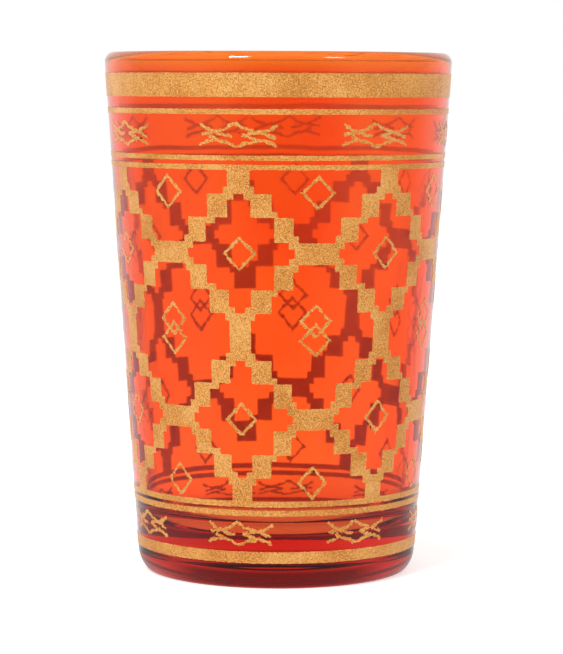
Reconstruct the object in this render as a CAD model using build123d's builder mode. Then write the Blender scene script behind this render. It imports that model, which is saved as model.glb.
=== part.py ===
from build123d import *
from collections import namedtuple
from itertools import pairwise
from math import cos, radians, sin
import os

# A tapered tea glass: one pressed-glass tumbler with a gold enamel print fired on its wall.
# Millimetres and degrees. +Z is up and the origin is the middle of the base, on the table.
# A bearing runs round the wall from the front (-Y) and grows towards +X.

# Tumbler
HEIGHT = 90.0
RIM_DIAMETER = 60.4
FOOT_DIAMETER = 48.0
WALL_THICKNESS = 2.3
LIP_THICKNESS = 1.5
LIP_TAPER = 45.0
FLOOR_THICKNESS = 8.5
LIP_DROP = 1.75
LIP_INSET = 1.2
LIP_EDGE_RADIUS = 0.2
HEEL_RISE = 3.8
HEEL_INSET = 1.5
HEEL_EDGE_RADIUS = 0.5
FLOOR_RADIUS = 7.0
STANDING_RING_WIDTH = 3.0
PUNT_DEPTH = 1.2
PUNT_EDGE_RADIUS = 0.6

# Gold film, and the bands and lines that ring the wall
GOLD_THICKNESS = 0.16
RIM_TO_BAND = 3.6
RIM_BAND_WIDTH = 3.95
RIM_BAND_TO_LINE = 1.95
RIM_LINE_WIDTH = 0.87
UPPER_FRIEZE_HEIGHT = 6.75
NECK_LINE_WIDTH = 0.8
NECK_LINE_TO_NET = 0.7
NET_TOP_RAIL = 0.85
NET_FOOT_RAIL = 0.98
FOOT_LINE_TO_NET = 0.55
FOOT_LINE_WIDTH = 0.97
LOWER_FRIEZE_HEIGHT = 6.1
FOOT_BAND_WIDTH = 1.95
FOOT_TO_BAND = 4.6

# Print layout round the wall: even columns, and a narrow one where the two ends of the print meet,
# which has lost the strip round its middle
REGISTER_BEARING = -13.1
EVEN_COLUMNS = 6
SEAM_COLUMN = 40.0
SEAM_LAP = 0.3
KNOTS = 8
KNOT_PITCH = 47.5
LOWER_KNOT_SHIFT = -1.2

# Stepped net: turns out from the middle of a cross, each step added to the one before
TIP_TURN = 1.8
NECK_TURN = 2.2
SHOULDER_TURN = 8.0
ARM_TURN = 5.0
END_TURN = 2.0
# The same steps as heights up from the middle of the cross
END_RISE = 0.8
ARM_RISE = 1.1
SHOULDER_RISE = 4.1
NECK_RISE = 2.9
TIP_RISE = 1.0
# Gold left round the cross
STEM_HALF_TURN = 3.7
STEM_FOOT_TURN = 1.2
STEM_FOOT_RISE = 1.2
UPPER_BLOCK_TURN = 7.0
LOWER_BLOCK_TURN = 6.4
WRIST_TURN = 1.2
WRIST_RISE = 1.1
BAR_HALF_HEIGHT = 1.8
LINK_TURN = 2.0
LINK_RISE = 1.0
INNER_LINK_TURN = 3.6
INNER_LINK_RISE = 1.0

# Line ornaments
LINE_WIDTH = 0.55
DIAMOND_HALF_TURN = 5.3
DIAMOND_HALF_HEIGHT = 2.6
DIAMOND_TAIL = 0.06
TWIN_SPACING = 3.25
TWIN_LIFT = 1.05
TOP_DIAMOND_DROP = 3.75
FOOT_DIAMOND_LIFT = 3.1
KNOT_HALF_TURN = 13.2
KNOT_HALF_HEIGHT = 1.85

rim_radius = RIM_DIAMETER / 2
foot_radius = FOOT_DIAMETER / 2

# Heights of the bands, worked down from the rim and up from the foot
rim_band_top = HEIGHT - RIM_TO_BAND
rim_band_foot = rim_band_top - RIM_BAND_WIDTH
rim_line_top = rim_band_foot - RIM_BAND_TO_LINE
rim_line_foot = rim_line_top - RIM_LINE_WIDTH
neck_line_top = rim_line_foot - UPPER_FRIEZE_HEIGHT
neck_line_foot = neck_line_top - NECK_LINE_WIDTH
net_top = neck_line_foot - NECK_LINE_TO_NET
field_top = net_top - NET_TOP_RAIL
foot_band_top = FOOT_TO_BAND + FOOT_BAND_WIDTH
foot_line_foot = foot_band_top + LOWER_FRIEZE_HEIGHT
foot_line_top = foot_line_foot + FOOT_LINE_WIDTH
net_foot = foot_line_top + FOOT_LINE_TO_NET
field_foot = net_foot + NET_FOOT_RAIL

# Rows of the net and the columns round it, each with its bearing, its width and the turn that is
# lost on each side of its middle
Column = namedtuple("Column", "bearing width lost")
half_row = (field_top - field_foot) / 4
cross_heights = (field_foot + half_row, field_top - half_row)
even_width = (360 - SEAM_COLUMN) / EVEN_COLUMNS

# The print is drawn on planes just inside the wall, and carried straight out past it
draw_radius = foot_radius * cos(radians(even_width / 2))
draw_reach = rim_radius


def even_bearings(count, pitch):
    """Bearings of evenly pitched columns, half of them each side of the register bearing."""
    return [REGISTER_BEARING + pitch * step for step in range(1 - count // 2, count // 2 + 1)]


columns = [Column(bearing, even_width, 0.0) for bearing in even_bearings(EVEN_COLUMNS, even_width)]
cross_bearings = [column.bearing for column in columns]
seam_bearing = columns[-1].bearing + (even_width + SEAM_COLUMN) / 2
columns.append(Column(seam_bearing, SEAM_COLUMN, (even_width - SEAM_COLUMN) / 2))
cell_bearings = [column.bearing + column.width / 2 for column in columns]

# Levels of the steps
neck_turn = TIP_TURN + NECK_TURN
shoulder_turn = neck_turn + SHOULDER_TURN
arm_turn = shoulder_turn + ARM_TURN
end_turn = arm_turn + END_TURN
arm_rise = END_RISE + ARM_RISE
shoulder_rise = arm_rise + SHOULDER_RISE
neck_rise = shoulder_rise + NECK_RISE
tip_rise = neck_rise + TIP_RISE
upper_block_turn = neck_turn + UPPER_BLOCK_TURN
lower_block_turn = shoulder_turn + LOWER_BLOCK_TURN
wrist_turn = end_turn + WRIST_TURN
wrist_rise = arm_rise + WRIST_RISE
stem_foot_turn = neck_turn + STEM_FOOT_TURN
stem_foot_rise = tip_rise + STEM_FOOT_RISE
link_rise = shoulder_rise + LINK_RISE
link_turn = upper_block_turn + LINK_TURN
inner_link_turn = shoulder_turn - INNER_LINK_TURN
inner_link_rise = shoulder_rise - INNER_LINK_RISE

# One quarter of a cross, from the end of its arm to its tip, as (turn, rise)
cross_right = [
    (end_turn, END_RISE),
    (arm_turn, END_RISE),
    (arm_turn, arm_rise),
    (shoulder_turn, arm_rise),
    (shoulder_turn, shoulder_rise),
    (neck_turn, shoulder_rise),
    (neck_turn, neck_rise),
    (TIP_TURN, neck_rise),
    (TIP_TURN, tip_rise),
]
# On the left a small link fills the shoulder from inside
cross_left = cross_right[:4] + [
    (shoulder_turn, inner_link_rise),
    (inner_link_turn, inner_link_rise),
    (inner_link_turn, shoulder_rise),
] + cross_right[5:]

# One quarter of the gold round a cross, from the bar to the stem, as (turn, rise)
gold_left = [
    (wrist_turn, BAR_HALF_HEIGHT),
    (wrist_turn, wrist_rise),
    (lower_block_turn, wrist_rise),
    (lower_block_turn, shoulder_rise),
    (upper_block_turn, shoulder_rise),
    (upper_block_turn, tip_rise),
    (stem_foot_turn, tip_rise),
    (stem_foot_turn, stem_foot_rise),
    (STEM_HALF_TURN, stem_foot_rise),
]
# On the right the link joins the blocks from outside
gold_right = gold_left[:4] + [
    (link_turn, shoulder_rise),
    (link_turn, link_rise),
    (upper_block_turn, link_rise),
] + gold_left[5:]

# The lines of one knot, as shares of its half width and half height
KNOT_LINES = {
    "roof": [
        (-0.95, 0.09), (-0.75, 0.13), (-0.28, 0.58), (-0.16, 0.97),
        (-0.03, 0.97), (0.12, 0.62), (0.56, 0.2), (0.94, -0.27),
    ],
    "left horn": [(-0.98, 1.0), (-0.78, 0.52), (-0.34, -0.03), (-0.14, -0.09)],
    "right horn": [(1.0, 0.85), (0.81, 0.49), (0.59, 0.25), (0.09, 0.0)],
    "keel": [
        (-0.75, -0.08), (-0.5, -0.49), (-0.25, -0.67), (-0.12, -1.0),
        (0.04, -1.0), (0.19, -0.71), (0.5, -0.55),
    ],
    "left leg": [(-1.0, -0.89), (-0.84, -0.67), (-0.55, -0.42)],
    "right leg": [(0.09, 0.0), (0.44, -0.36), (0.84, -0.71), (0.97, -1.0)],
}


def wall_radius(height):
    """Radius of the outer wall at a height."""
    return (FOOT_DIAMETER + (RIM_DIAMETER - FOOT_DIAMETER) * height / HEIGHT) / 2


def wall_plane(bearing):
    """Upright plane just inside the wall that faces straight out at a bearing."""
    turn = radians(bearing)
    out = Vector(sin(turn), -cos(turn), 0)
    return Plane(origin=out * draw_radius, x_dir=(cos(turn), sin(turn), 0), z_dir=out)


def on_wall(turn, height):
    """Point on a wall plane that lies in front of the wall at a turn and a height."""
    return (wall_radius(height) * sin(radians(turn)), height)


def film_section(low, high):
    """Section of a gold film on the wall between two heights."""
    with BuildSketch(Plane.XZ) as film:
        with BuildLine():
            Polyline(
                (wall_radius(low), low),
                (wall_radius(low) + GOLD_THICKNESS, low),
                (wall_radius(high) + GOLD_THICKNESS, high),
                (wall_radius(high), high),
                close=True,
            )
        make_face()
    return film.sketch


def draw_line(points):
    """Draw a gold line of even width, with mitred corners, on the sketch in hand."""
    nodes = [Vector(*point) for point in points]
    runs = [(end - start).normalized() for start, end in pairwise(nodes)]
    left, right = [], []
    for node, before, after in zip(nodes, runs[:1] + runs, runs + runs[-1:]):
        mitre = (before + after).normalized().rotate(Axis.Z, 90)
        reach = mitre * (LINE_WIDTH / 2 / mitre.dot(before.rotate(Axis.Z, 90)))
        left.append(node + reach)
        right.append(node - reach)
    Polygon(*left, *right[::-1], align=None)


def draw_diamond(height):
    """Draw one outlined diamond on the sketch in hand, its lines crossing at the side corners."""
    turn = DIAMOND_HALF_TURN * (1 + DIAMOND_TAIL)
    for up in (1, -1):
        tail = height - up * DIAMOND_HALF_HEIGHT * DIAMOND_TAIL
        peak = on_wall(0, height + up * DIAMOND_HALF_HEIGHT)
        draw_line([on_wall(-turn, tail), peak, on_wall(turn, tail)])


def draw_knot(height):
    """Draw one knot on the sketch in hand."""
    for line in KNOT_LINES.values():
        draw_line([on_wall(across * KNOT_HALF_TURN, height + up * KNOT_HALF_HEIGHT) for across, up in line])


def cross_outline(lost, height):
    """Outline of the open cross in one column of the net."""
    right = [(turn - lost, rise) for turn, rise in cross_right if turn > lost]
    left = [(lost - turn, rise) for turn, rise in cross_left if turn > lost]
    top = right + left[::-1]
    foot = [(turn, -rise) for turn, rise in left + right[::-1]]
    return [on_wall(turn, height + rise) for turn, rise in top + foot]


def cell_side(edge, lost, low_cross, high_cross):
    """Steps up one side of an open cell, as (turn, height), from a cross or a rail to the next."""
    below = [(STEM_HALF_TURN, field_foot)]
    above = [(STEM_HALF_TURN, field_top)]
    if low_cross is not None:
        below = [(turn, low_cross + rise) for turn, rise in edge]
    if high_cross is not None:
        above = [(turn, high_cross - rise) for turn, rise in edge[::-1]]
    steps = [(max(turn - lost, -SEAM_LAP), height) for turn, height in below + above]
    return list(dict.fromkeys(steps))


def cell_outline(first, second, low_cross, high_cross):
    """Outline of the open cell between two columns, above one row of crosses and below another."""
    left_side = cell_side(gold_right, first.lost, low_cross, high_cross)
    right_side = cell_side(gold_left, second.lost, low_cross, high_cross)
    left = [(turn - first.width / 2, height) for turn, height in left_side]
    right = [(second.width / 2 - turn, height) for turn, height in right_side]
    return [on_wall(turn, height) for turn, height in left + right[::-1]]


def export(piece, name):
    """Name a finished piece and write it."""
    piece.part.label = name
    export_step(piece.part, f"parts/{name}.step")


os.makedirs("parts", exist_ok=True)

stand_radius = foot_radius - HEEL_INSET
punt_edge = stand_radius - STANDING_RING_WIDTH
punt_radius = (punt_edge**2 + PUNT_DEPTH**2) / (2 * PUNT_DEPTH)
heel_top = (wall_radius(HEEL_RISE), HEEL_RISE)
down_wall = (foot_radius - rim_radius, -HEIGHT)
lip_foot = (wall_radius(HEIGHT - LIP_DROP), HEIGHT - LIP_DROP)
lip_top = (rim_radius - LIP_INSET, HEIGHT)
up_wall = (rim_radius - foot_radius, HEIGHT)
taper_foot = HEIGHT - LIP_TAPER
floor_corner = (wall_radius(FLOOR_THICKNESS) - WALL_THICKNESS, FLOOR_THICKNESS)

with BuildPart() as tumbler:
    with BuildSketch(Plane.XZ) as section:
        with BuildLine():
            RadiusArc((0, PUNT_DEPTH), (punt_edge, 0), punt_radius)
            Line((punt_edge, 0), (stand_radius, 0))
            TangentArc(heel_top, (stand_radius, 0), tangent=down_wall)
            Line(heel_top, lip_foot)
            TangentArc(lip_foot, lip_top, tangent=up_wall)
            Polyline(
                lip_top,
                (rim_radius - LIP_THICKNESS, HEIGHT),
                (wall_radius(taper_foot) - WALL_THICKNESS, taper_foot),
                floor_corner,
                (0, FLOOR_THICKNESS),
                (0, PUNT_DEPTH),
            )
        make_face()
        fillet(section.vertices().group_by(Axis.Y)[-1].sort_by(Axis.X)[0], LIP_EDGE_RADIUS)
        fillet(section.vertices().group_by(Axis.Y)[0].sort_by(Axis.X)[-1], HEEL_EDGE_RADIUS)
        fillet(section.vertices().group_by(Axis.Y)[0].sort_by(Axis.X)[0], PUNT_EDGE_RADIUS)
        fillet(section.vertices().sort_by_distance(floor_corner)[0], FLOOR_RADIUS)
    revolve(axis=Axis.Z)
export(tumbler, "tumbler")

rings = {
    "rim_band": (rim_band_foot, rim_band_top),
    "rim_line": (rim_line_foot, rim_line_top),
    "neck_line": (neck_line_foot, neck_line_top),
    "foot_line": (foot_line_foot, foot_line_top),
    "foot_band": (FOOT_TO_BAND, foot_band_top),
}
for name, (low, high) in rings.items():
    with BuildPart() as ring:
        revolve(film_section(low, high), axis=Axis.Z)
    export(ring, name)

with BuildPart() as net:
    revolve(film_section(net_foot, net_top), axis=Axis.Z)
    for first, second in pairwise(columns + columns[:1]):
        for height in cross_heights:
            with BuildSketch(wall_plane(first.bearing)):
                with BuildLine():
                    Polyline(*cross_outline(first.lost, height), close=True)
                make_face()
        for low_cross, high_cross in pairwise((None, *cross_heights, None)):
            with BuildSketch(wall_plane(first.bearing + first.width / 2)):
                with BuildLine():
                    Polyline(*cell_outline(first, second, low_cross, high_cross), close=True)
                make_face()
    extrude(amount=draw_reach, mode=Mode.SUBTRACT)
export(net, "net")

lower_cross, upper_cross = cross_heights
twin_middle = (lower_cross + upper_cross) / 2 + TWIN_LIFT
twins = (twin_middle - TWIN_SPACING / 2, twin_middle + TWIN_SPACING / 2)
upper_frieze = (neck_line_top, rim_line_foot)
lower_frieze = (foot_band_top, foot_line_foot)
knot_bearings = even_bearings(KNOTS, KNOT_PITCH)
lower_knot_bearings = [bearing + LOWER_KNOT_SHIFT for bearing in knot_bearings]
field = (field_foot, field_top)
ornaments = {
    "upper_knots": (draw_knot, knot_bearings, (sum(upper_frieze) / 2,), upper_frieze),
    "top_diamonds": (draw_diamond, cell_bearings, (field_top - TOP_DIAMOND_DROP,), field),
    "upper_cross_diamonds": (draw_diamond, cross_bearings, (upper_cross,), field),
    "twin_diamonds": (draw_diamond, cell_bearings, twins, field),
    "lower_cross_diamonds": (draw_diamond, cross_bearings, (lower_cross,), field),
    "foot_diamonds": (draw_diamond, cell_bearings, (field_foot + FOOT_DIAMOND_LIFT,), field),
    "lower_knots": (draw_knot, lower_knot_bearings, (sum(lower_frieze) / 2,), lower_frieze),
}
for name, (draw, bearings, heights, (low, high)) in ornaments.items():
    with BuildSketch() as motif:
        for height in heights:
            draw(height)
    with BuildPart() as row:
        for bearing in bearings:
            with BuildSketch(wall_plane(bearing)):
                add(motif.sketch)
        extrude(amount=draw_reach)
        revolve(film_section(low, high), axis=Axis.Z, mode=Mode.INTERSECT)
    export(row, name)
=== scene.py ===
"""Looks of a tapered tea glass: orange-stained glass with a sandy gold print, on a white table."""

import logging
import math
from collections.abc import Callable
from dataclasses import dataclass
from enum import Enum
from itertools import pairwise

import bmesh
import bpy
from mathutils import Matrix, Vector


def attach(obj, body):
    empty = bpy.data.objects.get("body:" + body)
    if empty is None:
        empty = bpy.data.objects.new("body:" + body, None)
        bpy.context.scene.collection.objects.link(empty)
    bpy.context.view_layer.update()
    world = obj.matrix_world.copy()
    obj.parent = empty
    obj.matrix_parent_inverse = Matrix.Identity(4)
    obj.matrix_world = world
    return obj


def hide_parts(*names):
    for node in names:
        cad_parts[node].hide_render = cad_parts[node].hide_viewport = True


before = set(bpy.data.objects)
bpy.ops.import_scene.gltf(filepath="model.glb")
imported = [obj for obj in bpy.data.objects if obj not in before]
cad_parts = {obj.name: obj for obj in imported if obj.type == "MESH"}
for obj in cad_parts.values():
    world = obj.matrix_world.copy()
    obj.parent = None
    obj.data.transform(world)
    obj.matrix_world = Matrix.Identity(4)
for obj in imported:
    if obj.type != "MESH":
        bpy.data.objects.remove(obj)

LOG = logging.getLogger("tea_glass")
MM = 0.001
Point = tuple[float, float, float]
Colour = tuple[float, float, float, float]
WHITE: Colour = (1.0, 1.0, 1.0, 1.0)
STAINED = "stained"
UNDERSIDE = "underside"
LEVEL_SLACK = 0.01 * MM
WELD_REACH = 0.001 * MM
FLAT_FACING = 0.9
# A Mix node has sockets of one name for every type, so those for colour go by number.
COLOUR_A = 6
COLOUR_B = 7
MIXED_COLOUR = 2


class Slot(Enum):
    """Material slots of the record."""

    GLASS = "orange_glass"
    GOLD = "gold_enamel"


class Line(Enum):
    """How freely an island of the print was drawn."""

    RULED = "ruled"
    DRAWN = "drawn"
    FINE = "fine"


PRINT_ISLANDS: dict[str, Line] = {
    "rim_band": Line.RULED,
    "rim_line": Line.RULED,
    "upper_knots": Line.DRAWN,
    "neck_line": Line.RULED,
    "net": Line.RULED,
    "top_diamonds": Line.FINE,
    "upper_cross_diamonds": Line.FINE,
    "twin_diamonds": Line.FINE,
    "lower_cross_diamonds": Line.FINE,
    "foot_diamonds": Line.FINE,
    "foot_line": Line.RULED,
    "lower_knots": Line.DRAWN,
    "foot_band": Line.RULED,
}


def linear(hex_colour: str) -> Colour:
    """Turn an sRGB hex colour to linear light.

    Args:
        hex_colour: Six hex digits, such as "DC9048".

    Returns:
        Linear red, green and blue, and an alpha of one.
    """
    channels = [int(hex_colour[i:i + 2], 16) / 255 for i in (0, 2, 4)]
    light = [c / 12.92 if c <= 0.04045 else ((c + 0.055) / 1.055) ** 2.4 for c in channels]
    return (light[0], light[1], light[2], 1.0)


def grey(level: float) -> Colour:
    """Make a neutral colour of one strength."""
    return (level, level, level, 1.0)


def add_node(
    tree: bpy.types.NodeTree,
    kind: str,
    inputs: dict[str | int, object] | None = None,
    **settings: object,
) -> bpy.types.Node:
    """Add one node with its settings, values and links.

    Args:
        tree: Node tree that takes the node.
        kind: Blender's name for the kind of node.
        inputs: Input name or index to a value, or to the output socket that feeds it.
        settings: Attributes of the node itself.

    Returns:
        The new node.
    """
    node = tree.nodes.new(kind)
    for name, value in settings.items():
        setattr(node, name, value)
    for name, value in (inputs or {}).items():
        if isinstance(value, bpy.types.NodeSocket):
            tree.links.new(value, node.inputs[name])
        else:
            node.inputs[name].default_value = value
    return node


def new_material(name: str) -> tuple[bpy.types.Material, bpy.types.NodeTree]:
    """Make an empty node material.

    Args:
        name: Name of the finish.

    Returns:
        The material and its cleared node tree.
    """
    material = bpy.data.materials.new(name)
    material.use_nodes = True
    material.node_tree.nodes.clear()
    return material, material.node_tree


def select_faces(piece: bpy.types.Object, wanted: Callable[[bmesh.types.BMFace], bool]) -> None:
    """Select only the faces that a test picks.

    Args:
        piece: Object in edit mode.
        wanted: Test on a face.
    """
    bpy.ops.mesh.select_mode(type="FACE")
    bpy.ops.mesh.select_all(action="DESELECT")
    mesh = bmesh.from_edit_mesh(piece.data)
    for face in mesh.faces:
        face.select_set(wanted(face))
    bmesh.update_edit_mesh(piece.data)


def select_edges(piece: bpy.types.Object, wanted: Callable[[bmesh.types.BMEdge], bool]) -> int:
    """Select only the edges that a test picks.

    Args:
        piece: Object in edit mode.
        wanted: Test on an edge.

    Returns:
        How many edges are selected.
    """
    bpy.ops.mesh.select_mode(type="EDGE")
    bpy.ops.mesh.select_all(action="DESELECT")
    mesh = bmesh.from_edit_mesh(piece.data)
    picked = [edge for edge in mesh.edges if wanted(edge)]
    for edge in picked:
        edge.select_set(True)
    bmesh.update_edit_mesh(piece.data)
    return len(picked)


def ring_at(level: float, radius: float, reach: float) -> Callable[[bmesh.types.BMEdge], bool]:
    """Make a test for edges that run round the axis.

    Args:
        level: Height of the edges.
        radius: Radius of the edges.
        reach: How far from that radius they may lie.

    Returns:
        The test.
    """
    def wanted(edge: bmesh.types.BMEdge) -> bool:
        """Say whether both ends of an edge lie on the ring.

        Args:
            edge: The edge.

        Returns:
            True if they do.
        """
        ends = [vert.co for vert in edge.verts]
        flat = all(abs(end.z - level) < LEVEL_SLACK for end in ends)
        near = all(abs(end.xy.length - radius) < reach for end in ends)
        return flat and near and abs(ends[0].xy.length - ends[1].xy.length) < LEVEL_SLACK

    return wanted


def make_active(piece: bpy.types.Object) -> None:
    """Select one object alone and make it the active one.

    Args:
        piece: The object.
    """
    bpy.ops.object.select_all(action="DESELECT")
    piece.select_set(True)
    bpy.context.view_layer.objects.active = piece


def apply_modifier(piece: bpy.types.Object, kind: str, **settings: object) -> None:
    """Add one modifier and apply it.

    Args:
        piece: The active object, in object mode.
        kind: Blender's name for the kind of modifier.
        settings: Attributes of the modifier.
    """
    modifier = piece.modifiers.new(kind.lower(), kind)
    for name, value in settings.items():
        setattr(modifier, name, value)
    bpy.ops.object.modifier_apply(modifier=modifier.name)


def cloud_texture(name: str, grain: float) -> bpy.types.Texture:
    """Make a soft cloud texture for moving points.

    Args:
        name: Name of the texture.
        grain: Size of one cloud.

    Returns:
        The texture.
    """
    texture = bpy.data.textures.new(name, "CLOUDS")
    texture.noise_scale = grain
    texture.noise_depth = 1
    texture.cloud_type = "COLOR"
    return texture


@dataclass(frozen=True)
class OrangeGlass:
    """Soda-lime glass with an orange stain fired on its outside.

    Every look through the skin goes orange. Painted light makes it yellower in streaks at the rim
    and brightens the partly matt lip, and painted shade makes it a deeper red on the upper front.
    The
    glass behind it is only smoky: it takes light in the thick bottom and hardly any in the wall.
    """

    name: str = "orange_stained_soda_lime_glass"
    stain: str = "FF4C17"
    # Painted light: a yellower colour in streaks towards the rim, standing in for light that the
    # lip bends into the view.
    painted_rim_light: str = "FF9028"
    # Painted shade: a deeper red patch on the upper front, standing in for the shade of the print
    # on the far wall.
    painted_shade_colour: str = "FA1C02"
    painted_shade_centre_mm: Point = (3.0, -29.0, 74.0)
    painted_shade_reach_mm: Point = (14.0, 14.0, 30.0)
    painted_shade_full_at: float = 0.6
    # Painted light: the stained lip is made partly matt, so that the lamps brighten it in place of
    # light carried up the wall.
    painted_lip_light_mm: tuple[float, float] = (88.0, 89.0)
    lip_clearness: float = 0.7
    painted_rim_light_mm: tuple[float, float] = (86.0, 90.5)
    streak_mm: float = 16.0
    streak_depth: float = 0.35
    streak_detail: float = 2.0
    ior: float = 1.52
    inside_roughness: float = 0.06
    smoke: str = "EFAA7C"
    smoke_per_metre: float = 102.0

    def material(self) -> bpy.types.Material:
        """Make the glass: a clear skin, stained where it faces out, over smoky depth.

        Returns:
            The finished material.
        """
        material, tree = new_material(self.name)
        place = add_node(tree, "ShaderNodeTexCoord").outputs["Object"]
        height = add_node(tree, "ShaderNodeSeparateXYZ", {"Vector": place}).outputs["Z"]
        stained = add_node(tree, "ShaderNodeAttribute", attribute_name=STAINED).outputs["Fac"]
        stain = self.stain_with_painted_light_and_shade(tree, place, height)
        tint = add_node(
            tree,
            "ShaderNodeMix",
            {"Factor": stained, COLOUR_A: WHITE, COLOUR_B: stain},
            data_type="RGBA",
        )
        satin = add_node(
            tree,
            "ShaderNodeMapRange",
            {"Value": stained, "To Min": self.inside_roughness, "To Max": 0.0},
        )
        skin = add_node(
            tree,
            "ShaderNodeBsdfPrincipled",
            {
                "Base Color": tint.outputs[MIXED_COLOUR],
                "Roughness": satin.outputs[0],
                "IOR": self.ior,
                "Transmission Weight": self.clearness(tree, height, stained),
            },
        )
        depth = add_node(
            tree,
            "ShaderNodeVolumeAbsorption",
            {"Color": linear(self.smoke), "Density": self.smoke_per_metre},
        )
        add_node(
            tree,
            "ShaderNodeOutputMaterial",
            {"Surface": skin.outputs[0], "Volume": depth.outputs[0]},
        )
        return material

    def clearness(
        self,
        tree: bpy.types.NodeTree,
        height: bpy.types.NodeSocket,
        stained: bpy.types.NodeSocket,
    ) -> bpy.types.NodeSocket:
        """Add how clear the skin is: clear all over, but partly matt on the stained lip, as painted
        light that brightens it.

        Args:
            tree: Node tree that takes the nodes.
            height: Height above the table.
            stained: One where the stain lies, and zero elsewhere.

        Returns:
            The share of light that passes.
        """
        low, high = self.painted_lip_light_mm
        painted_lip_light = add_node(
            tree,
            "ShaderNodeMapRange",
            {"Value": height, "From Min": low * MM, "From Max": high * MM},
        )
        share = add_node(
            tree,
            "ShaderNodeMath",
            {0: painted_lip_light.outputs[0], 1: stained},
            operation="MULTIPLY",
        )
        clear = add_node(
            tree,
            "ShaderNodeMapRange",
            {"Value": share.outputs[0], "To Min": 1.0, "To Max": self.lip_clearness},
        )
        return clear.outputs[0]

    def stain_with_painted_light_and_shade(
        self,
        tree: bpy.types.NodeTree,
        place: bpy.types.NodeSocket,
        height: bpy.types.NodeSocket,
    ) -> bpy.types.NodeSocket:
        """Add the stain: orange, with painted shade that makes it redder on the upper front and
        painted light that makes it yellower in streaks towards the rim.

        Args:
            tree: Node tree that takes the nodes.
            place: Object coordinates.
            height: Height above the table.

        Returns:
            The colour of the stain.
        """
        # Painted light: yellower streaks that grow towards the rim.
        low, high = self.painted_rim_light_mm
        fade = add_node(
            tree,
            "ShaderNodeMapRange",
            {"Value": height, "From Min": low * MM, "From Max": high * MM},
            interpolation_type="SMOOTHSTEP",
        )
        streaks = add_node(
            tree,
            "ShaderNodeTexNoise",
            {
                "Vector": place,
                "Scale": 1 / (self.streak_mm * MM),
                "Detail": self.streak_detail,
            },
        )
        painted_rim_light_share = add_node(
            tree,
            "ShaderNodeMath",
            {0: streaks.outputs["Fac"], 1: self.streak_depth, 2: fade.outputs[0]},
            operation="MULTIPLY_ADD",
            use_clamp=True,
        )
        # Painted shade: the stain turns a deeper red in a patch on the upper front.
        patch = add_node(
            tree,
            "ShaderNodeMapping",
            {
                "Vector": place,
                "Location": [-c / r for c, r in zip(self.painted_shade_centre_mm, self.painted_shade_reach_mm)],
                "Scale": [1 / (r * MM) for r in self.painted_shade_reach_mm],
            },
        )
        painted_shade_fall = add_node(
            tree,
            "ShaderNodeTexGradient",
            {"Vector": patch.outputs[0]},
            gradient_type="SPHERICAL",
        )
        painted_shade_share = add_node(
            tree,
            "ShaderNodeMapRange",
            {"Value": painted_shade_fall.outputs["Fac"], "From Max": self.painted_shade_full_at},
            interpolation_type="SMOOTHSTEP",
        )
        body = add_node(
            tree,
            "ShaderNodeMix",
            {
                "Factor": painted_shade_share.outputs[0],
                COLOUR_A: linear(self.stain),
                COLOUR_B: linear(self.painted_shade_colour),
            },
            data_type="RGBA",
        )
        stain = add_node(
            tree,
            "ShaderNodeMix",
            {
                "Factor": painted_rim_light_share.outputs[0],
                COLOUR_A: body.outputs[MIXED_COLOUR],
                COLOUR_B: linear(self.painted_rim_light),
            },
            data_type="RGBA",
        )
        return stain.outputs[MIXED_COLOUR]


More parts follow.
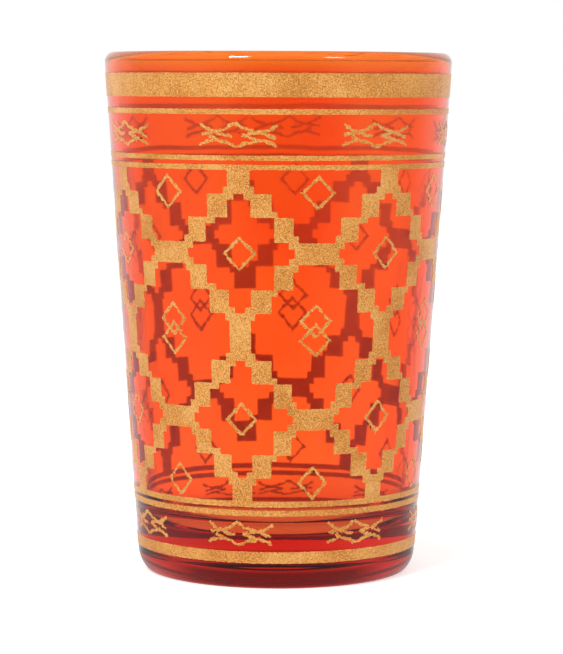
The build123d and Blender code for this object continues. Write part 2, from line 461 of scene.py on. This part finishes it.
@dataclass(frozen=True)
class GoldEnamel:
    """Gold enamel of metal powder in glass flux, screen-printed and fired.

    It is satin and sandy: grains of light and dark metal, finer than a grain of salt. Its back,
    which shows only through the glass, is pale and has no metal.
    """

    name: str = "gold_enamel"
    light: str = "FFC878"
    middle: str = "F4A040"
    dark: str = "C27A36"
    back: str = "FFC0C0"
    dark_at: float = 0.52
    middle_at: float = 0.69
    light_at: float = 0.86
    metallic: float = 0.3
    roughness: float = 0.45
    # The powder itself is finer: its grains are drawn as coarse as they need to be to show.
    grain_mm: float = 0.2
    grain_detail: float = 1.0
    cloud_mm: float = 7.0
    cloud_detail: float = 3.0
    cloud_share: float = 0.4
    bump_mm: float = 0.012
    bump_strength: float = 0.6
    flux: float = 0.25
    flux_roughness: float = 0.15

    def material(self) -> bpy.types.Material:
        """Make the enamel: grains of three golds over slow clouds of thicker print.

        Returns:
            The finished material.
        """
        material, tree = new_material(self.name)
        place = add_node(tree, "ShaderNodeTexCoord").outputs["Object"]
        grain = add_node(
            tree,
            "ShaderNodeTexNoise",
            {"Vector": place, "Scale": 1 / (self.grain_mm * MM), "Detail": self.grain_detail},
        )
        clouds = add_node(
            tree,
            "ShaderNodeTexNoise",
            {"Vector": place, "Scale": 1 / (self.cloud_mm * MM), "Detail": self.cloud_detail},
        )
        mixed = add_node(
            tree,
            "ShaderNodeMath",
            {0: clouds.outputs["Fac"], 1: self.cloud_share, 2: grain.outputs["Fac"]},
            operation="MULTIPLY_ADD",
        )
        golds = add_node(tree, "ShaderNodeValToRGB", {"Fac": mixed.outputs[0]})
        ramp = golds.color_ramp
        ramp.elements[0].position = self.dark_at
        ramp.elements[0].color = linear(self.dark)
        ramp.elements[1].position = self.light_at
        ramp.elements[1].color = linear(self.light)
        ramp.elements.new(self.middle_at).color = linear(self.middle)
        bump = add_node(
            tree,
            "ShaderNodeBump",
            {
                "Height": grain.outputs["Fac"],
                "Distance": self.bump_mm * MM,
                "Strength": self.bump_strength,
            },
        )
        underside = add_node(tree, "ShaderNodeAttribute", attribute_name=UNDERSIDE).outputs["Fac"]
        colour = add_node(
            tree,
            "ShaderNodeMix",
            {
                "Factor": underside,
                COLOUR_A: golds.outputs["Color"],
                COLOUR_B: linear(self.back),
            },
            data_type="RGBA",
        )
        metal = add_node(
            tree,
            "ShaderNodeMapRange",
            {"Value": underside, "To Min": self.metallic, "To Max": 0.0},
        )
        skin = add_node(
            tree,
            "ShaderNodeBsdfPrincipled",
            {
                "Base Color": colour.outputs[MIXED_COLOUR],
                "Metallic": metal.outputs[0],
                "Roughness": self.roughness,
                "Coat Weight": self.flux,
                "Coat Roughness": self.flux_roughness,
                "Normal": bump.outputs["Normal"],
            },
        )
        add_node(tree, "ShaderNodeOutputMaterial", {"Surface": skin.outputs[0]})
        return material


@dataclass
class Tumbler:
    """The pressed glass body, with a thin fire-polished lip and a hollow underside."""

    finish: OrangeGlass
    height: float = 90.0 * MM
    rim_radius: float = 30.2 * MM
    foot_radius: float = 24.0 * MM
    wall: float = 2.3 * MM
    lip: float = 1.5 * MM
    lip_taper: float = 45.0 * MM
    lip_drop: float = 1.75 * MM
    lip_inset: float = 1.2 * MM
    lip_edge: float = 0.2 * MM
    floor: float = 8.5 * MM
    heel_rise: float = 3.8 * MM
    heel_inset: float = 1.5 * MM
    heel_edge: float = 0.5 * MM
    floor_round: float = 6.6 * MM
    standing_ring: float = 3.0 * MM
    punt_depth: float = 1.2 * MM
    punt_edge: float = 0.6 * MM
    unevenness: float = 0.16 * MM
    wave: float = 9.0 * MM
    sides: int = 256
    lip_steps: int = 8
    heel_steps: int = 6
    wall_steps: int = 40
    punt_rings: int = 10
    lip_edge_steps: int = 3
    ring_edge_steps: int = 4
    floor_round_steps: int = 14
    rows_above_corner: float = 1.5
    ring_reach: float = 0.1 * MM
    lip_facing: float = 0.3

    def wall_radius(self, level: float) -> float:
        """Radius of the outer wall at a height."""
        return self.foot_radius + (self.rim_radius - self.foot_radius) * level / self.height

    def inner_radius(self, level: float) -> float:
        """Radius of the inner wall at a height, where the wall thins towards the lip."""
        share = max(0.0, 1 - (self.height - level) / self.lip_taper)
        return self.wall_radius(level) - self.wall - (self.lip - self.wall) * share

    def build(self) -> bpy.types.Object:
        """Turn a cylinder into the hollow tapered glass.

        Returns:
            The glass, dressed and riding on the frame.
        """
        bpy.ops.object.select_all(action="DESELECT")
        bpy.ops.mesh.primitive_cylinder_add(
            vertices=self.sides,
            radius=self.wall_radius(self.heel_rise),
            depth=self.height - self.lip_drop - self.heel_rise,
            end_fill_type="NGON",
            location=(0, 0, (self.height - self.lip_drop + self.heel_rise) / 2),
        )
        glass = bpy.context.active_object
        glass.name = "glass_tumbler"
        bpy.ops.object.transform_apply(location=True, rotation=True, scale=True)
        bpy.ops.object.mode_set(mode="EDIT")
        self.hollow(glass)
        self.drop_heel(glass)
        self.raise_punt(glass)
        self.round_edges(glass)
        bpy.ops.object.mode_set(mode="OBJECT")
        self.make_uneven(glass)
        self.mark_outside(glass)
        bpy.ops.object.shade_smooth()
        apply_modifier(glass, "WEIGHTED_NORMAL", mode="FACE_AREA", weight=100)
        self.dress(glass)
        return glass

    def wall_arc(self, level: float, end: Vector, steps: int) -> list[Vector]:
        """Draw an arc that leaves the wall without a corner.

        Args:
            level: Height where the arc leaves the wall.
            end: Radius and height of its far end.
            steps: How many steps it is drawn in.

        Returns:
            Radius and height of every point, both ends included.
        """
        start = Vector((self.wall_radius(level), level))
        up_wall = Vector((self.rim_radius - self.foot_radius, self.height)).normalized()
        inward = Vector((-up_wall.y, up_wall.x))
        bend = (end - start).length_squared / (2 * (end - start).dot(inward))
        centre = start + inward * bend
        along = up_wall if end.y > level else -up_wall
        sweep = inward.angle(centre - end)
        turns = [sweep * step / steps for step in range(steps + 1)]
        spokes = [along * math.sin(turn) - inward * math.cos(turn) for turn in turns]
        return [centre + bend * spoke for spoke in spokes]

    @staticmethod
    def follow(section: list[Vector]) -> None:
        """Extrude the selected cap along a section.

        Args:
            section: Radius and height of every point, from where the cap is.
        """
        for here, there in pairwise(section):
            rise = (0, 0, there.y - here.y)
            bpy.ops.mesh.extrude_region_move(TRANSFORM_OT_translate={"value": rise})
            ratio = there.x / here.x
            bpy.ops.transform.resize(value=(ratio, ratio, 1), center_override=(0, 0, there.y))

    def hollow(self, glass: bpy.types.Object) -> None:
        """Flare the wall, roll the lip over and sink the inside down to the floor.

        Args:
            glass: The glass, in edit mode.
        """
        lip_top = Vector((self.rim_radius - self.lip_inset, self.height))
        lip_arc = self.wall_arc(self.height - self.lip_drop, lip_top, self.lip_steps)
        lowest_row = self.floor + self.rows_above_corner * self.floor_round
        drop = (self.height - lowest_row) / self.wall_steps
        levels = [self.height - drop * step for step in range(self.wall_steps + 1)] + [self.floor]
        inside = [Vector((self.inner_radius(level), level)) for level in levels]
        select_faces(glass, lambda face: face.normal.z > FLAT_FACING)
        flare = lip_arc[0].x / self.wall_radius(self.heel_rise)
        bpy.ops.transform.resize(value=(flare, flare, 1), center_override=(0, 0, lip_arc[0].y))
        self.follow(lip_arc + inside)
        bpy.ops.mesh.poke()

    def drop_heel(self, glass: bpy.types.Object) -> None:
        """Curve the foot of the wall in, down to the ring that it stands on.

        Args:
            glass: The glass, in edit mode.
        """
        foot = Vector((self.foot_radius - self.heel_inset, 0.0))
        select_faces(glass, lambda face: face.normal.z < -FLAT_FACING)
        self.follow(self.wall_arc(self.heel_rise, foot, self.heel_steps))

    def raise_punt(self, glass: bpy.types.Object) -> None:
        """Dome the underside inside its standing ring.

        Args:
            glass: The glass, in edit mode.
        """
        edge = self.foot_radius - self.heel_inset - self.standing_ring
        bpy.ops.mesh.inset(thickness=self.standing_ring)
        rings = self.punt_rings + 1
        for ring in range(1, rings):
            bpy.ops.mesh.inset(thickness=edge / rings)
            inner, outer = 1 - ring / rings, 1 - (ring - 1) / rings
            rise = self.punt_depth * (outer**2 - inner**2)
            bpy.ops.transform.translate(value=(0, 0, rise))
        bpy.ops.mesh.poke()

    def round_edges(self, glass: bpy.types.Object) -> None:
        """Round the lip, the standing ring and the corner of the inner floor.

        Args:
            glass: The glass, in edit mode.
        """
        stand = self.foot_radius - self.heel_inset
        corner = self.inner_radius(self.floor)
        roundings = (
            (self.height, self.rim_radius - self.lip, self.lip_edge, self.lip_edge_steps),
            (0.0, stand, self.heel_edge, self.ring_edge_steps),
            (0.0, stand - self.standing_ring, self.punt_edge, self.ring_edge_steps),
            (self.floor, corner, self.floor_round, self.floor_round_steps),
        )
        for level, radius, offset, segments in roundings:
            select_edges(glass, ring_at(level, radius, self.ring_reach))
            bpy.ops.mesh.bevel(offset=offset, segments=segments, profile=0.5, affect="EDGES")

    def make_uneven(self, glass: bpy.types.Object) -> None:
        """Let the inside of the wall wave a little, as pressed glass does.

        Args:
            glass: The active object, in object mode.
        """
        group = glass.vertex_groups.new(name="inner_wall")
        low, high = self.floor + self.floor_round, self.height - self.lip_drop
        for vert in glass.data.vertices:
            inside = self.wall_radius(vert.co.z) - vert.co.xy.length > self.lip / 2
            if inside and vert.co.z > low:
                fade = min(1.0, (vert.co.z - low) / self.wave, (high - vert.co.z) / self.wave)
                group.add([vert.index], max(0.0, fade), "REPLACE")
        apply_modifier(
            glass,
            "DISPLACE",
            texture=cloud_texture("wall_waves", self.wave),
            texture_coords="LOCAL",
            vertex_group=group.name,
            strength=self.unevenness,
            mid_level=0.5,
        )
        glass.vertex_groups.clear()
        LOG.info("waved the inner wall from %.1f to %.1f mm", low / MM, high / MM)

    def mark_outside(self, glass: bpy.types.Object) -> None:
        """Mark the faces that the stain lies on: the outer wall, the lip and the heel.

        Args:
            glass: The glass, in object mode.
        """
        stained = glass.data.attributes.new(STAINED, "FLOAT", "FACE")
        stand = self.foot_radius - self.heel_inset
        for face in glass.data.polygons:
            reach, level = face.center.xy.length, face.center.z
            outer = reach > (self.wall_radius(level) + self.inner_radius(level)) / 2
            lip = face.normal.z > self.lip_facing and level > self.height - self.lip_drop
            heel = level < self.floor and reach > stand
            stained.data[face.index].value = float(outer or lip or heel)

    def dress(self, glass: bpy.types.Object) -> None:
        """Give the glass its finish and seat it on the frame.

        Args:
            glass: The finished mesh.
        """
        glass.data.materials.clear()
        glass.data.materials.append(self.finish.material())
        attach(glass, "root")
        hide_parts("tumbler")


@dataclass
class GoldPrint:
    """The gold print: thin films with soft, slightly ragged edges, fired on the wall."""

    finish: GoldEnamel
    glass: bpy.types.Object
    sink: float = 0.02 * MM
    film: float = 0.07 * MM
    stitch: float = 0.25 * MM
    weave: float = 1.2 * MM
    drawn_thinning: float = 0.03 * MM
    fine_thinning: float = 0.05 * MM
    corner_ease: float = 0.4
    wobble_grain: float = 0.4 * MM
    # Strengths of the noise that moves the outline, which strays by a part of this.
    ruled_wobble: float = 0.2 * MM
    drawn_wobble: float = 0.7 * MM
    outward_facing: float = 0.8
    crease_degrees: float = 40.0

    def build(self) -> list[bpy.types.Object]:
        """Make every island of the print.

        Returns:
            The films, in the order of the islands.
        """
        enamel = self.finish.material()
        raggedness = cloud_texture("print_edges", self.wobble_grain)
        films = []
        for name, line in PRINT_ISLANDS.items():
            film = self.peel(name)
            if line is not Line.RULED:
                self.thin(film, self.fine_thinning if line is Line.FINE else self.drawn_thinning)
            wobble = self.ruled_wobble if line is Line.RULED else self.drawn_wobble
            self.rough_edges(film, wobble, raggedness)
            self.lay_on(film)
            self.mark_underside(film)
            self.dress(film, name, enamel)
            LOG.info("laid %s with %d faces", film.name, len(film.data.polygons))
            films.append(film)
        return films

    def peel(self, name: str) -> bpy.types.Object:
        """Copy the outer skin of a packed island.

        Args:
            name: Node of the island.

        Returns:
            The skin as a new object.
        """
        skin = bpy.data.objects.new(f"gold_{name}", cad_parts[name].data.copy())
        bpy.context.scene.collection.objects.link(skin)
        make_active(skin)
        bpy.ops.mesh.customdata_custom_splitnormals_clear()
        bpy.ops.object.mode_set(mode="EDIT")
        bpy.ops.mesh.select_all(action="SELECT")
        bpy.ops.mesh.remove_doubles(threshold=WELD_REACH)
        select_faces(skin, lambda face: not self.faces_out(face))
        bpy.ops.mesh.delete(type="FACE")
        while select_edges(skin, self.too_long):
            bpy.ops.mesh.subdivide(number_cuts=1)
        bpy.ops.object.mode_set(mode="OBJECT")
        return skin

    @staticmethod
    def thin(skin: bpy.types.Object, strip: float) -> None:
        """Take a narrow strip off all along the outline of a drawn skin.

        Args:
            skin: The active object, in object mode.
            strip: Width of the strip.
        """
        bpy.ops.object.mode_set(mode="EDIT")
        bpy.ops.mesh.select_mode(type="FACE")
        bpy.ops.mesh.select_all(action="SELECT")
        bpy.ops.mesh.inset(thickness=strip, use_boundary=True)
        bpy.ops.mesh.select_all(action="INVERT")
        bpy.ops.mesh.delete(type="FACE")
        bpy.ops.object.mode_set(mode="OBJECT")

    def too_long(self, edge: bmesh.types.BMEdge) -> bool:
        """Say whether an edge is longer than a stitch of the outline or the weave inside it."""
        return edge.calc_length() > (self.stitch if edge.is_boundary else self.weave)

    def faces_out(self, face: bmesh.types.BMFace) -> bool:
        """Say whether a face looks straight away from the axis."""
        away = face.calc_center_median().xy.normalized()
        return face.normal.xy.dot(away) > self.outward_facing

    def rough_edges(
        self,
        skin: bpy.types.Object,
        wobble: float,
        raggedness: bpy.types.Texture,
    ) -> None:
        """Ease the corners of a skin's outline and make the outline a little ragged.

        Args:
            skin: The active object, in object mode.
            wobble: How far the outline strays.
            raggedness: Texture of the straying.
        """
        bpy.ops.object.mode_set(mode="EDIT")
        mesh = bmesh.from_edit_mesh(skin.data)
        eased = {}
        for vert in mesh.verts:
            sides = [edge.other_vert(vert) for edge in vert.link_edges if edge.is_boundary]
            if len(sides) == 2:
                middle = (sides[0].co + sides[1].co) / 2
                eased[vert] = vert.co.lerp(middle, self.corner_ease)
        for vert, place in eased.items():
            vert.co = place
        outline = [vert.index for vert in eased]
        bmesh.update_edit_mesh(skin.data)
        bpy.ops.object.mode_set(mode="OBJECT")
        group = skin.vertex_groups.new(name="outline")
        group.add(outline, 1.0, "REPLACE")
        apply_modifier(
            skin,
            "DISPLACE",
            texture=raggedness,
            texture_coords="LOCAL",
            direction="RGB_TO_XYZ",
            vertex_group=group.name,
            strength=wobble,
            mid_level=0.5,
        )
        skin.vertex_groups.clear()

    def lay_on(self, skin: bpy.types.Object) -> None:
        """Lay a skin on the glass and give it the thickness of a print.

        Args:
            skin: The active object, in object mode.
        """
        apply_modifier(
            skin,
            "SHRINKWRAP",
            target=self.glass,
            wrap_method="NEAREST_SURFACEPOINT",
            wrap_mode="ABOVE_SURFACE",
            offset=-self.sink,
        )
        apply_modifier(skin, "SOLIDIFY", thickness=self.film, offset=1.0)
        bpy.ops.object.shade_smooth_by_angle(angle=math.radians(self.crease_degrees))

    @staticmethod
    def mark_underside(film: bpy.types.Object) -> None:
        """Mark the faces of a film that look into the glass.

        Args:
            film: The film, in object mode.
        """
        underside = film.data.attributes.new(UNDERSIDE, "FLOAT", "FACE")
        for face in film.data.polygons:
            underside.data[face.index].value = float(face.normal.xy.dot(face.center.xy) < 0)

    @staticmethod
    def dress(film: bpy.types.Object, name: str, enamel: bpy.types.Material) -> None:
        """Give a film its finish and seat it on the frame.

        Args:
            film: The finished mesh.
            name: Node of the island that it replaces.
            enamel: The finish.
        """
        film.data.materials.clear()
        film.data.materials.append(enamel)
        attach(film, "root")
        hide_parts(name)


@dataclass(frozen=True)
class Softbox:
    """One rectangular studio light."""

    name: str
    place: Point
    aim: Point
    width: float
    height: float
    watts: float

    def hang(self) -> None:
        """Hang the light so that it faces its aim."""
        bpy.ops.object.light_add(type="AREA", location=self.place)
        lamp = bpy.context.active_object
        lamp.name = self.name
        lamp.data.shape = "RECTANGLE"
        lamp.data.size = self.width
        lamp.data.size_y = self.height
        lamp.data.energy = self.watts
        way = Vector(self.aim) - Vector(self.place)
        lamp.rotation_euler = way.to_track_quat("-Z", "Y").to_euler()
        lamp.visible_camera = False
        lamp.visible_transmission = False


SOFTBOXES = (
    Softbox(
        name="key_softbox",
        place=(-0.45, -0.8, 0.85),
        aim=(0.0, 0.0, 0.05),
        width=0.25,
        height=0.25,
        watts=7.0,
    ),
    Softbox(
        name="fill_softbox",
        place=(0.62, -0.7, 0.8),
        aim=(0.0, 0.0, 0.05),
        width=0.22,
        height=0.22,
        watts=1.8,
    ),
)


@dataclass
class Studio:
    """White table, soft light and the camera that took the view."""

    camera_place: Point = (0.0, -484.5 * MM, 84.24 * MM)
    pitch: float = 4.95
    yaw: float = -0.065
    roll: float = -0.26
    focal_pixels: float = 2780.0
    frame_pixels: int = 654
    sensor_mm: float = 36.0
    ambient: float = 0.74
    ambient_behind: float = 0.4
    table_size: float = 6.0
    table_white: str = "F8F8F8"
    table_roughness: float = 0.9
    table_glow: float = 0.5
    near_painted_reflection: float = 0.2
    near_reach: tuple[float, float] = (0.05, 0.2)
    # What reflections see, at shares of the way from behind the camera to behind the glass.
    dim: float = 0.1
    side: float = 0.36
    side_stretch: tuple[float, float] = (0.2, 0.62)
    white_from: float = 0.88
    # What is seen through the glass, by how far a look rises, or turns to the side at the tents.
    room: float = 0.3
    sheet_top: float = 0.045
    room_stretch: tuple[float, float] = (0.08, 0.24)
    ceiling_from: float = 0.42
    tent_edge: tuple[float, float] = (0.3, 0.65)

    def build(self) -> None:
        """Set up the table, the light and the camera."""
        bpy.context.scene.view_settings.view_transform = "Standard"
        self.lay_table()
        self.light_room()
        for softbox in SOFTBOXES:
            softbox.hang()
        self.set_camera()

    def lay_table(self) -> None:
        """Lay a plain white table that keeps the glass's shadow."""
        bpy.ops.object.select_all(action="DESELECT")
        bpy.ops.mesh.primitive_plane_add(size=self.table_size, location=(0, 0, 0))
        table = bpy.context.active_object
        table.name = "white_table"
        table.data.materials.append(self.table_finish())

    def table_finish(self) -> bpy.types.Material:
        """Make matt white card: white to the eye and through the glass, shaded under it, with a
        painted reflection that is dim towards the camera and white behind the glass.

        Returns:
            The finished material.
        """
        material, tree = new_material("matt_white_card")
        path = add_node(tree, "ShaderNodeLightPath").outputs
        place = add_node(tree, "ShaderNodeTexCoord").outputs["Object"]
        way = add_node(tree, "ShaderNodeVectorMath", {0: place}, operation="NORMALIZE").outputs[0]
        reach = add_node(tree, "ShaderNodeVectorMath", {0: place}, operation="LENGTH")
        seen = add_node(
            tree,
            "ShaderNodeMath",
            {0: path["Is Camera Ray"], 1: path["Is Transmission Ray"]},
            operation="MAXIMUM",
        )
        glow = add_node(
            tree,
            "ShaderNodeMath",
            {0: seen.outputs[0], 1: self.table_glow},
            operation="MULTIPLY",
        )
        sheet = add_node(
            tree,
            "ShaderNodeBsdfPrincipled",
            {
                "Base Color": linear(self.table_white),
                "Roughness": self.table_roughness,
                "Emission Color": WHITE,
                "Emission Strength": glow.outputs[0],
            },
        )
        # Painted reflection: reflections see the card dim towards the camera, white behind the
        # glass and a little brighter near it.
        near = add_node(
            tree,
            "ShaderNodeMapRange",
            {
                "Value": reach.outputs["Value"],
                "From Min": self.near_reach[0],
                "From Max": self.near_reach[1],
                "To Min": self.near_painted_reflection,
                "To Max": 0.0,
            },
        )
        mirrored = add_node(
            tree,
            "ShaderNodeMath",
            {0: near.outputs[0], 1: self.surround(tree, way)},
        )
        reflection = add_node(
            tree,
            "ShaderNodeEmission",
            {"Color": WHITE, "Strength": mirrored.outputs[0]},
        )
        reflected = add_node(
            tree,
            "ShaderNodeMath",
            {0: path["Is Glossy Ray"], 1: path["Is Transmission Ray"]},
            operation="SUBTRACT",
            use_clamp=True,
        )
        shown = add_node(
            tree,
            "ShaderNodeMixShader",
            {0: reflected.outputs[0], 1: sheet.outputs[0], 2: reflection.outputs[0]},
        )
        add_node(tree, "ShaderNodeOutputMaterial", {"Surface": shown.outputs[0]})
        return material

    def surround(
        self,
        tree: bpy.types.NodeTree,
        way: bpy.types.NodeSocket,
    ) -> bpy.types.NodeSocket:
        """Add what a reflection sees: a dim room behind the camera and white behind the glass.

        Args:
            tree: Node tree that takes the nodes.
            way: Direction from the glass.

        Returns:
            The strength of the light from there.
        """
        depth = add_node(tree, "ShaderNodeSeparateXYZ", {"Vector": way}).outputs["Y"]
        share = add_node(tree, "ShaderNodeMapRange", {"Value": depth, "From Min": -1.0})
        levels = add_node(tree, "ShaderNodeValToRGB", {"Fac": share.outputs[0]})
        ramp = levels.color_ramp
        ramp.elements[0].color = grey(self.dim)
        ramp.elements[1].color = WHITE
        ramp.elements[1].position = self.white_from
        for position in self.side_stretch:
            ramp.elements.new(position).color = grey(self.side)
        return levels.outputs["Color"]

    def backdrop(
        self,
        tree: bpy.types.NodeTree,
        way: bpy.types.NodeSocket,
    ) -> bpy.types.NodeSocket:
        """Add what is seen through the glass: a white sheet, the dim room over it, a white ceiling.

        White tents close it off at both sides.

        Args:
            tree: Node tree that takes the nodes.
            way: Direction of the look.

        Returns:
            The strength of the light from there.
        """
        parts = add_node(tree, "ShaderNodeSeparateXYZ", {"Vector": way}).outputs
        levels = add_node(tree, "ShaderNodeValToRGB", {"Fac": parts["Z"]})
        ramp = levels.color_ramp
        ramp.elements[0].position = self.sheet_top
        ramp.elements[0].color = WHITE
        ramp.elements[1].position = self.ceiling_from
        ramp.elements[1].color = WHITE
        for position in self.room_stretch:
            ramp.elements.new(position).color = grey(self.room)
        sideways = add_node(tree, "ShaderNodeMath", {0: parts["X"]}, operation="ABSOLUTE")
        tents = add_node(
            tree,
            "ShaderNodeMapRange",
            {
                "Value": sideways.outputs[0],
                "From Min": self.tent_edge[0],
                "From Max": self.tent_edge[1],
            },
        )
        brightest = add_node(
            tree,
            "ShaderNodeMath",
            {0: levels.outputs["Color"], 1: tents.outputs[0]},
            operation="MAXIMUM",
        )
        return brightest.outputs[0]

    def light_room(self) -> None:
        """Light the room, most of it from the camera's side, and show plain white behind."""
        world = bpy.data.worlds.new("white_room")
        world.use_nodes = True
        bpy.context.scene.world = world
        tree = world.node_tree
        tree.nodes.clear()
        path = add_node(tree, "ShaderNodeLightPath").outputs
        way = add_node(tree, "ShaderNodeTexCoord").outputs["Generated"]
        depth = add_node(tree, "ShaderNodeSeparateXYZ", {"Vector": way}).outputs["Y"]
        ambient = add_node(
            tree,
            "ShaderNodeMapRange",
            {
                "Value": depth,
                "From Min": -1.0,
                "To Min": self.ambient,
                "To Max": self.ambient_behind,
            },
        )
        by_gloss = add_node(
            tree,
            "ShaderNodeMix",
            {
                "Factor": path["Is Glossy Ray"],
                "A": ambient.outputs[0],
                "B": self.surround(tree, way),
            },
        )
        through = add_node(
            tree,
            "ShaderNodeMix",
            {"Factor": path["Diffuse Depth"], "A": self.backdrop(tree, way), "B": 1.0},
        )
        by_glass = add_node(
            tree,
            "ShaderNodeMix",
            {
                "Factor": path["Is Transmission Ray"],
                "A": by_gloss.outputs[0],
                "B": through.outputs[0],
            },
        )
        strength = add_node(
            tree,
            "ShaderNodeMix",
            {"Factor": path["Is Camera Ray"], "A": by_glass.outputs[0], "B": 1.0},
        )
        room = add_node(
            tree,
            "ShaderNodeBackground",
            {"Color": WHITE, "Strength": strength.outputs[0]},
        )
        add_node(tree, "ShaderNodeOutputWorld", {"Surface": room.outputs[0]})

    def set_camera(self) -> None:
        """Stand the camera where the view was taken from."""
        bpy.ops.object.camera_add(location=self.camera_place)
        camera = bpy.context.active_object
        camera.name = "view_camera"
        tilt = math.radians(90 - self.pitch)
        camera.rotation_euler = (tilt, math.radians(self.roll), math.radians(self.yaw))
        camera.data.sensor_width = self.sensor_mm
        camera.data.lens = self.focal_pixels * self.sensor_mm / self.frame_pixels
        bpy.context.scene.camera = camera


def main() -> None:
    """Set up the studio, build the glass and lay the print on it."""
    logging.basicConfig(level=logging.INFO)
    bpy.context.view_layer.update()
    Studio().build()
    glass = Tumbler(OrangeGlass()).build()
    LOG.info("built %s with %d faces", glass.name, len(glass.data.polygons))
    films = GoldPrint(GoldEnamel(), glass).build()
    LOG.info("laid %d islands of gold", len(films))


if __name__ == "__main__":
    main()
